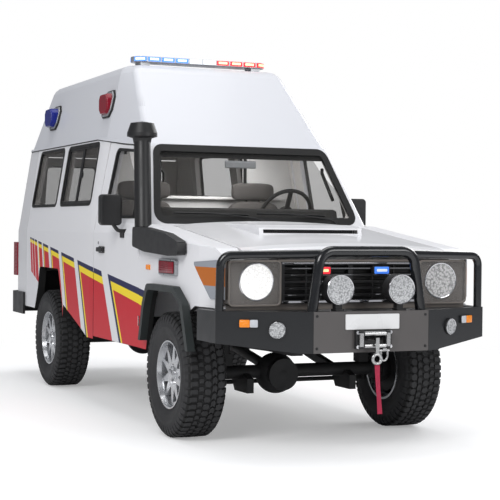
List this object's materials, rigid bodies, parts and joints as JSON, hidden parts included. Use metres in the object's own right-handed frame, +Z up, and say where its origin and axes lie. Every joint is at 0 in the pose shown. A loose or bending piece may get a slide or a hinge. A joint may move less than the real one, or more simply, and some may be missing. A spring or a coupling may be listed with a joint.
{
  "type": "ambulance",
  "caption": "High-roof four-wheel-drive ambulance with bull bar, winch, snorkel and roof light bar; the wheels turn and steer, and doors and hood open.",
  "frame": {"origin": "on the floor under the middle of the whole vehicle", "axes": "+Z up, the vehicle faces -Y, its right side is -X"},
  "size_m": [1.984, 5.161, 2.504],
  "materials": {
    "body_white": "gloss",
    "roof_white": "gloss",
    "nose_brown": "satin",
    "chassis_black": "matt",
    "bar_black": "satin",
    "bar_grey": "satin",
    "cast_metal": "rough",
    "bare_steel": "brushed",
    "black_plastic": "matt",
    "black_rubber": "matt",
    "tyre_rubber": "matt",
    "rim_silver": "polished",
    "window_glass": "clear",
    "lamp_glass": "clear",
    "lens_red": "gloss",
    "strap_red": "woven",
    "cabin_dark": "grained",
    "cabin_light": "smooth",
    "seat_grey": "woven"
  },
  "bodies": {
    "root": {"chassis_frame": "chassis_black", "engine_block": "cast_metal", "drivetrain": "cast_metal", "front_axle": "chassis_black", "rear_axle": "chassis_black", "suspension": "chassis_black", "fuel_tank": "chassis_black", "exhaust": "bare_steel", "floor_pan": "body_white", "cab_front": "body_white", "windscreen": "window_glass", "rear_frame": "body_white", "side_glass": "window_glass", "high_roof": "roof_white", "front_fenders": "body_white", "headlamps": "lamp_glass", "nose_panel": "nose_brown", "grille": "black_plastic", "arch_flares": "black_plastic", "mudflaps": "black_rubber", "bull_bar": "bar_black", "bar_hoops": "bar_black", "winch": "bar_black", "tow_hook": "bare_steel", "hook_strap": "strap_red", "driving_lamps": "lamp_glass", "snorkel": "black_plastic", "light_bar": "bar_grey", "warning_lamps": "lens_red", "dashboard": "cabin_dark", "seats": "seat_grey", "partition": "cabin_light", "rear_bumper": "black_plastic", "tail_lamps": "lens_red", "side_panel_right": "body_white", "side_panel_left": "body_white"},
    "tie_rod": {"tie_rod": "chassis_black"},
    "hood": {"hood": "body_white"},
    "knuckle_right": {"knuckle_right": "chassis_black"},
    "front_door_right": {"door_right": "body_white", "door_glass_right": "window_glass", "mirror_right": "black_plastic"},
    "back_door_right": {"rear_door_right": "body_white", "rear_glass_right": "window_glass"},
    "wheel_front_right": {"tyre_front_right": "tyre_rubber", "rim_front_right": "rim_silver"},
    "wheel_rear_right": {"tyre_rear_right": "tyre_rubber", "rim_rear_right": "rim_silver"},
    "knuckle_left": {"knuckle_left": "chassis_black"},
    "front_door_left": {"door_left": "body_white", "door_glass_left": "window_glass", "mirror_left": "black_plastic"},
    "back_door_left": {"rear_door_left": "body_white", "rear_glass_left": "window_glass"},
    "wheel_front_left": {"tyre_front_left": "tyre_rubber", "rim_front_left": "rim_silver"},
    "wheel_rear_left": {"tyre_rear_left": "tyre_rubber", "rim_rear_left": "rim_silver"}
  },
  "joints": [
    {"name": "steer_right", "type": "hinge", "parent": "root", "child": "knuckle_right", "pos_m": [-0.588, -1.4945, 0.382], "axis": [0, 0, 1], "range_deg": [-30, 30]},
    {"name": "wheel_front_right_spin", "type": "hinge", "parent": "knuckle_right", "child": "wheel_front_right", "pos_m": [-0.733, -1.4945, 0.382], "axis": [1, 0, 0], "continuous": true},
    {"name": "wheel_rear_right_spin", "type": "hinge", "parent": "root", "child": "wheel_rear_right", "pos_m": [-0.683, 1.4055, 0.382], "axis": [1, 0, 0], "continuous": true},
    {"name": "front_door_right_hinge", "type": "hinge", "parent": "root", "child": "front_door_right", "pos_m": [-0.846, -0.9385, 0.9], "axis": [0, 0, 1], "range_deg": [0, 65]},
    {"name": "back_door_right_hinge", "type": "hinge", "parent": "root", "child": "back_door_right", "pos_m": [-0.659, 2.4985, 1.2], "axis": [0, 0, 1], "range_deg": [0, 95]},
    {"name": "steer_left", "type": "hinge", "parent": "root", "child": "knuckle_left", "pos_m": [0.588, -1.4945, 0.382], "axis": [0, 0, 1], "range_deg": [-30, 30]},
    {"name": "wheel_front_left_spin", "type": "hinge", "parent": "knuckle_left", "child": "wheel_front_left", "pos_m": [0.733, -1.4945, 0.382], "axis": [1, 0, 0], "continuous": true},
    {"name": "wheel_rear_left_spin", "type": "hinge", "parent": "root", "child": "wheel_rear_left", "pos_m": [0.683, 1.4055, 0.382], "axis": [1, 0, 0], "continuous": true},
    {"name": "front_door_left_hinge", "type": "hinge", "parent": "root", "child": "front_door_left", "pos_m": [0.846, -0.9385, 0.9], "axis": [0, 0, -1], "range_deg": [0, 65]},
    {"name": "back_door_left_hinge", "type": "hinge", "parent": "root", "child": "back_door_left", "pos_m": [0.659, 2.4985, 1.2], "axis": [0, 0, -1], "range_deg": [0, 95]},
    {"name": "hood_hinge", "type": "hinge", "parent": "root", "child": "hood", "pos_m": [0, -1.0605, 1.268], "axis": [-1, 0, 0], "range_deg": [0, 50]},
    {"name": "tie_rod_swing", "type": "hinge", "parent": "knuckle_right", "child": "tie_rod", "pos_m": [-0.588, -1.3145, 0.302], "axis": [0, 0, 1], "range_deg": [-30, 30]}
  ],
  "couplings": [
    {"joint": "steer_left", "follows": "steer_right", "ratio": 1},
    {"joint": "tie_rod_swing", "follows": "steer_right", "ratio": -1}
  ]
}
